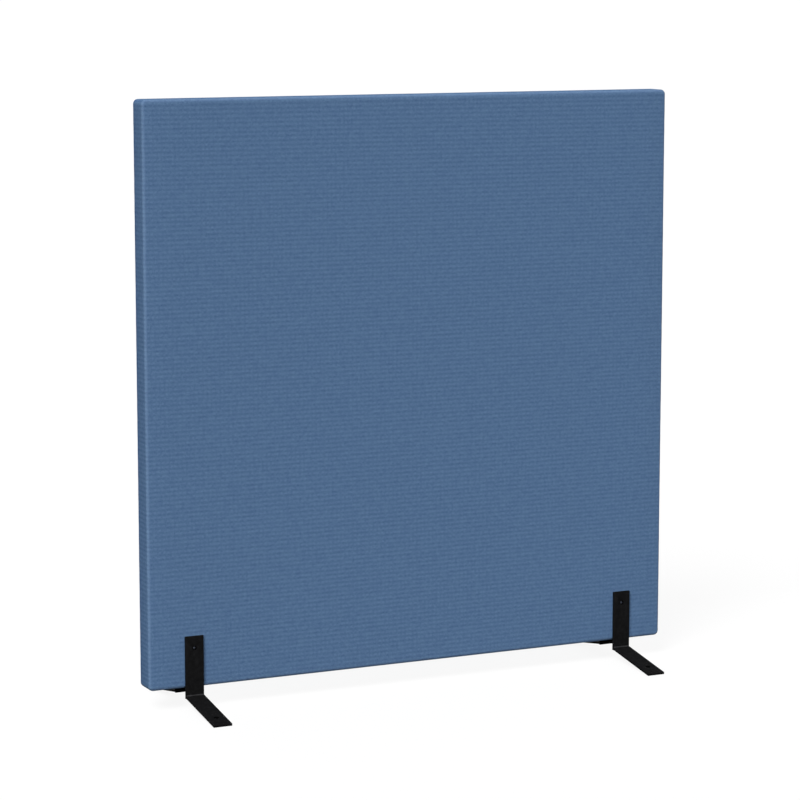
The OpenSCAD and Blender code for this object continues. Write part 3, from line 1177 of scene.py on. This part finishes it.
screw = {
    "tone": (0.036, 0.041, 0.053),
    "shades": ((0.1, 0.3), (0.5, 1), (0.9, 1.2)),
    "rough": 0.28,
    "roughSwing": 0.25,
    "gloss": 0.5,
    "metallic": 1,
    "relief": (0.00002, 0.4),
    "cloudScale": 600,
    "fineScale": 4000,
    "cloudShare": 0.4,
    "crownEdge": 0.85,    # shares of the head's radius: where the painted highlight on the head ends,
    "crownFade": 0.3,     # and over how much of it
    "headWide": 0.0076,
    "headHigh": 0.0022,
    "headSteps": 40,
    "socketWide": 0.0029,
    "socketDeep": 0.0013,
    "socketSides": 6,
    "shank": 0.004,
    "long": 0.020,
    "threadPitch": 0.0007,
    "threadCore": 0.80,   # share of the shank that the thread leaves
    "tip": 0.85,
    "smoothTo": 28,
}


def makeZincFinish():
    finish, tree, skin = newFinish("bluishZinc")
    where = objectPlace(tree)
    cloudy = noiseAt(tree, where, screw["cloudScale"], detail=3)
    fine = noiseAt(tree, where, screw["fineScale"], detail=2)
    # painted highlight in the middle of the head, dimmed by the clouds
    cloudyHighlight = times(tree, attributeAt(tree, "crown"), faded(tree, cloudy, screw["cloudShare"]))
    paint(tree, skin, screw, cloudyHighlight, fine, roughBy=cloudy)
    return finish


def makeScrew():
    # in front, on the middle line, pushed in along +Y
    size = screw
    seat = panelLow.y - (bracket["thick"] - bracket["headHoleDeep"])
    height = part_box("front_left_bracket")[1].z - bracket["holeBelowTop"]
    top = seat - size["headHigh"]
    headRound = size["headWide"] / 2
    dome = (headRound ** 2 + size["headHigh"] ** 2) / (2 * size["headHigh"])
    bpy.ops.object.select_all(action="DESELECT")
    bpy.ops.mesh.primitive_uv_sphere_add(
        segments=size["headSteps"], ring_count=size["headSteps"], radius=dome,
        location=(0, top + dome, height), rotation=(radians(90), 0, 0))
    head = settle("screwHead")
    startEdit(head)
    cutAt(head, alongY, seat, use_fill=True, clear_outer=True)
    # the shank, drawn out of the underside of the head
    pick(head, "faces", lambda face: face.normal.y > mostly)
    bpy.ops.mesh.inset(thickness=headRound - size["shank"] / 2)
    steps = round(size["long"] / size["threadPitch"] * 2)
    rise = size["long"] / steps
    for step in range(steps):
        bpy.ops.mesh.extrude_region_move(TRANSFORM_OT_translate={"value": (0, rise, 0)})
    endEdit()
    # thread: every other ring is drawn in
    for vertex in head.data.vertices:
        ring = round((vertex.co.y - seat) / rise)
        if ring > 0:
            share = size["threadCore"] if ring % 2 else 1.0
            if ring >= steps - 1:
                share *= size["tip"]
            vertex.co.x *= share
            vertex.co.z = height + (vertex.co.z - height) * share
    cutWith(head, addRod("socket", size["socketWide"], 2 * size["socketDeep"], (0, top, height),
                         (90, 0), size["socketSides"]))
    # painted highlight: bright in the middle of the head, dark towards its rim
    crown = head.data.attributes.new("crown", "FLOAT", "POINT")
    for vertex in head.data.vertices:
        away = hypot(vertex.co.x, vertex.co.z - height) / headRound
        bright = (size["crownEdge"] - away) / size["crownFade"]
        crown.data[vertex.index].value = max(0.0, min(1.0, bright))
    smooth(head, size["smoothTo"])
    return head


def makeScrews():
    finish = makeZincFinish()
    for one in copyToBrackets(makeScrew(), "Screw").values():
        fitPiece(one, ["bracket_screws"], finish)
    print("screws made")


# Finishes of the parts that keep their CAD shape

softwood = {
    "tone": (0.62, 0.43, 0.23),
    "ring": 0.0042,
    "contrast": 0.5,
}

hardwood = {
    "tone": (0.36, 0.18, 0.08),
    "ring": 0.0024,
    "contrast": 0.3,
}

grain = {
    "shades": ((0.12, 1.15), (0.4, 1), (0.9, 0.45)),
    "rough": 0.55,
    "roughSwing": 0.2,
    "gloss": 0.3,
    "relief": (0.00012, 0.5),
    "slowScale": (1.2, 9, 9),
    "fibreScale": (30, 2200, 2200),
    "poreScale": (90, 4200, 4200),
    "pith": (0.071, 0.053),
    "wander": 2.4,        # rings
    "lateSharp": 3.0,
    "fibreShare": 0.35,
    "slowShare": 0.2,
}

fibreboard = {
    "tone": (0.42, 0.30, 0.17),
    "shades": ((0.32, 0.6), (0.5, 1), (0.7, 1.35)),
    "rough": 0.93,
    "gloss": 0.1,
    "relief": (0.0005, 0.6),
    "pressed": (1, 3, 1),
    "feltScale": 350,
    "clumpScale": 45,
    "feltShare": 0.65,    # of the pattern, and the rest is clumps
}

metal = {
    "shades": ((0.3, 0.78), (0.7, 1.12)),
    "roughSwing": 0.2,
    "gloss": 0.5,
    "metallic": 1,
    "cloudScale": 250,
    "lineShare": 0.5,     # of the pattern, and the rest is clouds
}

# lineScale makes the drawing or turning lines, which relief gives their depth

stapleWire = {
    "tone": (0.55, 0.56, 0.58),
    "rough": 0.22,
    "relief": (0.00002, 0.5),
    "lineScale": (300, 3000, 3000),
}

insertSteel = {
    "tone": (0.50, 0.51, 0.53),
    "rough": 0.25,
    "relief": (0.00004, 0.5),
    "lineScale": (600, 5000, 600),
}

yellowZinc = {
    "tone": (0.58, 0.48, 0.24),
    "rough": 0.28,
    "relief": (0.00003, 0.5),
    "lineScale": (800, 800, 5000),
}


def makeWoodFinish(name, wood, turn):
    # grain runs along X before the turn; the rings lie round a pith outside the wood
    finish, tree, skin = newFinish(name)
    slow = noiseAt(tree, objectPlace(tree, grain["slowScale"], turn), detail=2)
    fibre = noiseAt(tree, objectPlace(tree, grain["fibreScale"], turn), detail=3, roughness=0.6)
    pores = noiseAt(tree, objectPlace(tree, grain["poreScale"], turn), detail=1)
    axes = axesOf(tree, objectPlace(tree, turn=turn))
    y = calc(tree, "ADD", axes[1], grain["pith"][0])
    z = calc(tree, "ADD", axes[2], grain["pith"][1])
    away = calc(tree, "SQRT", calc(tree, "ADD", times(tree, y, y), times(tree, z, z)))
    rings = calc(tree, "DIVIDE", away, wood["ring"])
    count = calc(tree, "MULTIPLY_ADD", slow, grain["wander"], rings)
    late = calc(tree, "POWER", calc(tree, "FRACT", count), grain["lateSharp"])
    shade = total(tree, (late, wood["contrast"]), (fibre, grain["fibreShare"]),
                  (slow, grain["slowShare"]))
    height = calc(tree, "ADD", fibre, pores)
    paint(tree, skin, {**grain, **wood}, shade, height, roughBy=fibre)
    return finish


def makeBoardFinish():
    finish, tree, skin = newFinish("softFibreboard")
    matted = noiseAt(tree, objectPlace(tree, fibreboard["pressed"]), fibreboard["feltScale"],
                     detail=5, roughness=0.7, distortion=0.8)
    clumps = noiseAt(tree, objectPlace(tree), fibreboard["clumpScale"], detail=4)
    shade = mixed(tree, matted, clumps, fibreboard["feltShare"])
    paint(tree, skin, fibreboard, shade, shade)
    return finish


def makeMetalFinish(name, kind):
    finish, tree, skin = newFinish(name)
    lines = noiseAt(tree, objectPlace(tree, kind["lineScale"]), detail=3)
    cloudy = noiseAt(tree, objectPlace(tree), metal["cloudScale"], detail=2)
    shade = mixed(tree, lines, cloudy, metal["lineShare"])
    paint(tree, skin, {**metal, **kind}, shade, lines, roughBy=cloudy)
    return finish


def dressNodes():
    lying, standing = (0, 0, 0), (0, radians(90), 0)
    for finish, nodes in (
            (makeWoodFinish("railTimber", softwood, lying), ["top_rail", "bottom_rail"]),
            (makeWoodFinish("stileTimber", softwood, standing),
             ["left_stile", "right_stile", "centre_stile"]),
            (makeWoodFinish("dowelTimber", hardwood, standing), ["frame_dowels"]),
            (makeWoodFinish("blockTimber", hardwood, lying),
             ["left_anchor_block", "right_anchor_block"]),
            (makeBoardFinish(), ["front_board", "rear_board"]),
            (makeMetalFinish("stapleWire", stapleWire),
             ["front_board_staples", "rear_board_staples", "underside_staples"]),
            (makeMetalFinish("insertSteel", insertSteel), ["bracket_inserts"]),
            (makeMetalFinish("yellowZinc", yellowZinc), ["block_screws"])):
        for node in nodes:
            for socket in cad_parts[node].material_slots:
                socket.material = finish
    print("CAD parts dressed")


makeCamera()
makeLight()
makeFloor()
makeCovers()
makeFoams()
makeSlabs()
makeStrip()
makeBrackets()
makeScrews()
dressNodes()
